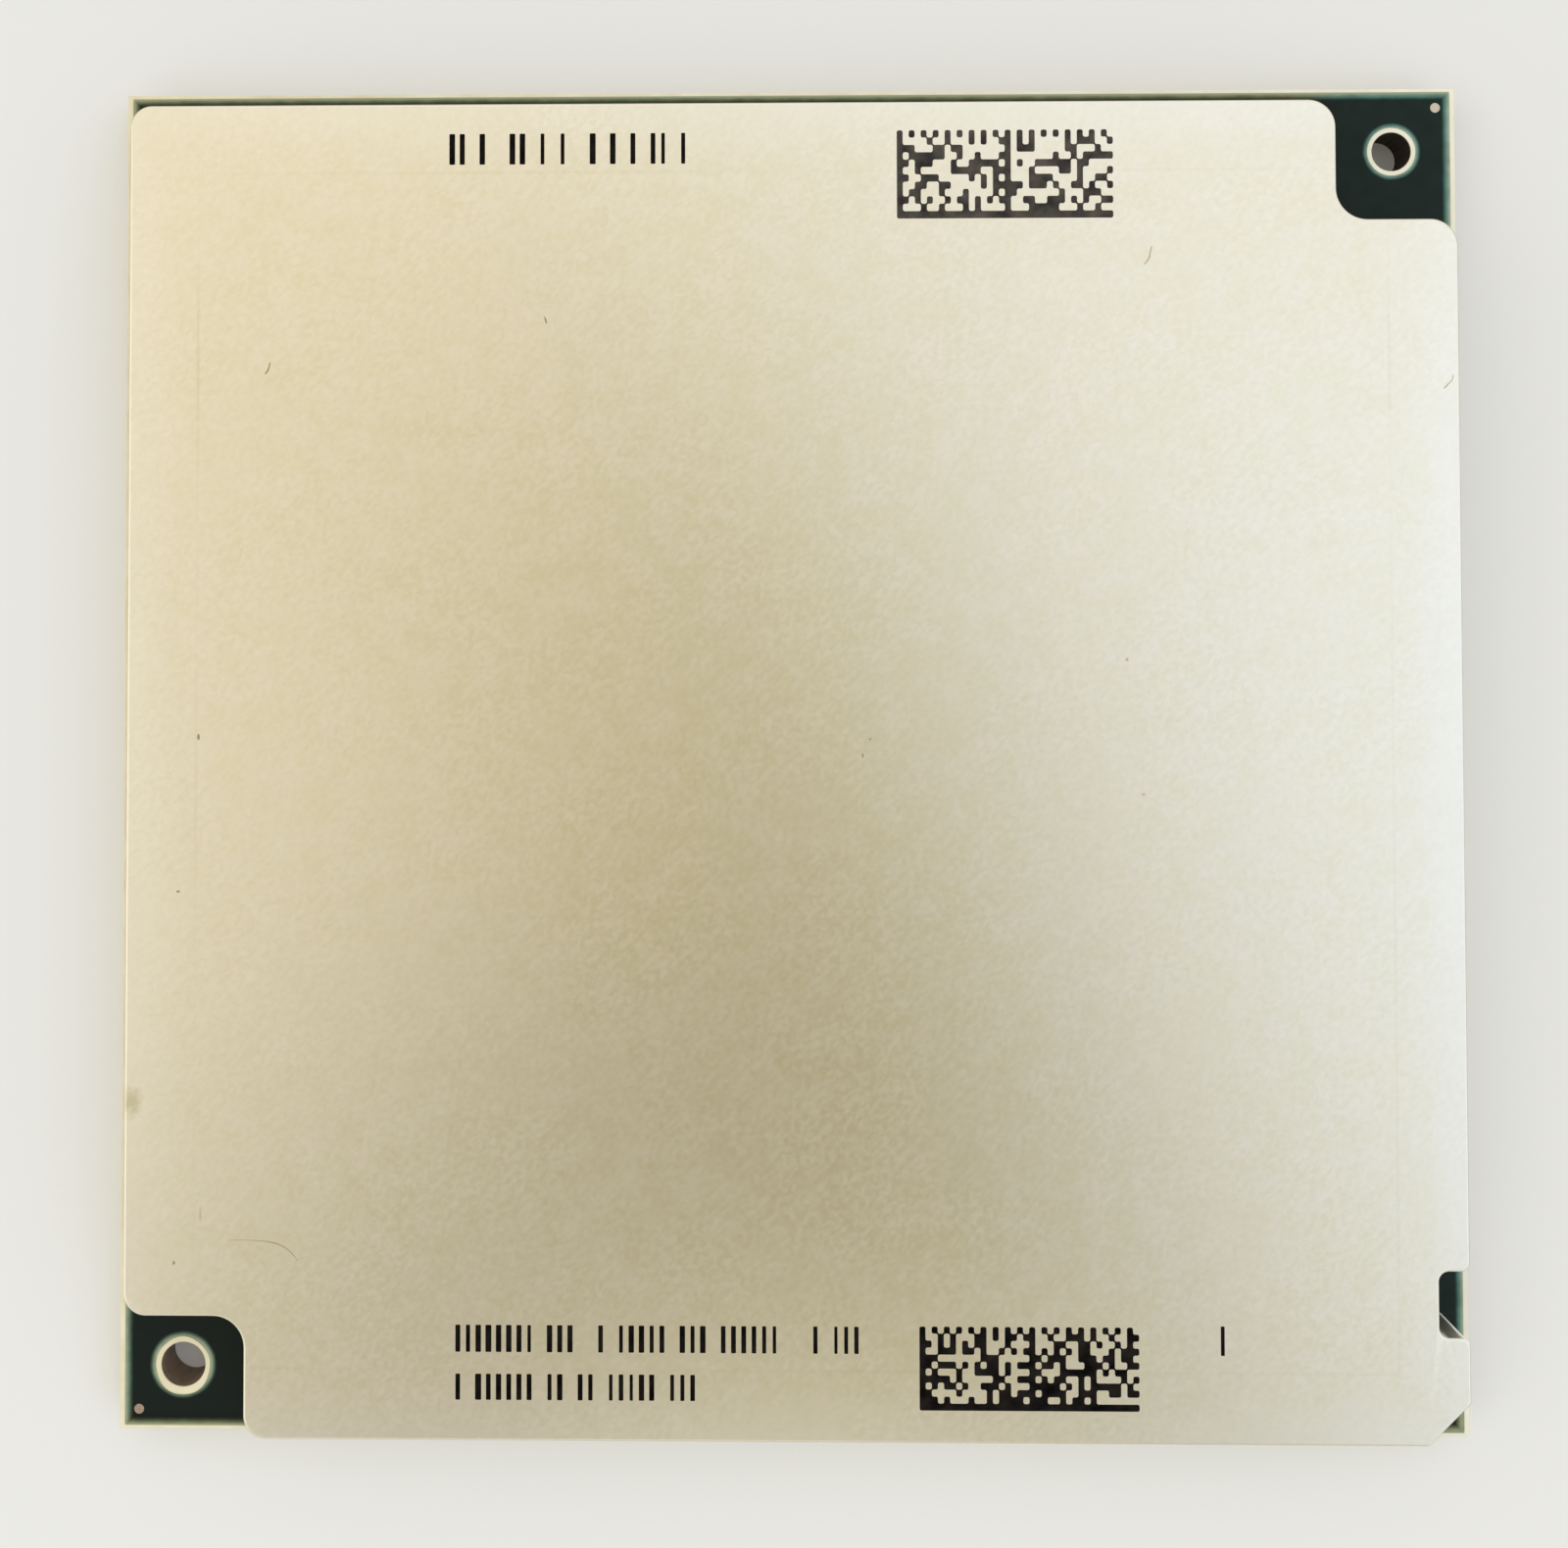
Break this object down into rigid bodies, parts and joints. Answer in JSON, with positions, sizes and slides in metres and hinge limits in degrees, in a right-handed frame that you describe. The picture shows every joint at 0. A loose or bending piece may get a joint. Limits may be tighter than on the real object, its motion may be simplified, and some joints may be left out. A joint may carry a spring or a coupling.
{
  "type": "server processor",
  "caption": "Square lidded server processor: satin metal lid on a dark green substrate, contact lands below, guide holes in the notched corners.",
  "frame": {"origin": "under the middle of the substrate, on the plane of the contact lands", "axes": "+Z from the lands to the lid; the small guide hole is in the +X +Y corner and the large one in the -X -Y corner"},
  "size_m": [0.0684, 0.0684, 0.0055],
  "materials": {
    "laminate": "cut edge of glass-filled laminate",
    "solder_mask": "satin dark green solder mask over copper",
    "bare_copper": "bare treated copper",
    "gold_plate": "thin gold plate",
    "silicon": "ground back of a silicon die",
    "resin": "cured epoxy",
    "thermal_pad": "grey filled gel",
    "capacitor_ceramic": "fired ceramic",
    "tin_plate": "dull tin",
    "seal_adhesive": "cured silicone",
    "nickel_plate": "satin nickel plate on copper"
  },
  "bodies": {
    "root": {"substrate_laminate": "laminate", "top_solder_mask": "solder_mask", "bottom_solder_mask": "solder_mask", "fiducial_marks": "bare_copper", "land_field": "gold_plate", "die": "silicon", "underfill": "resin", "thermal_interface": "thermal_pad", "capacitor_bodies": "capacitor_ceramic", "capacitor_terminals": "tin_plate", "lid_seal": "seal_adhesive", "lid": "nickel_plate"}
  },
  "joints": []
}
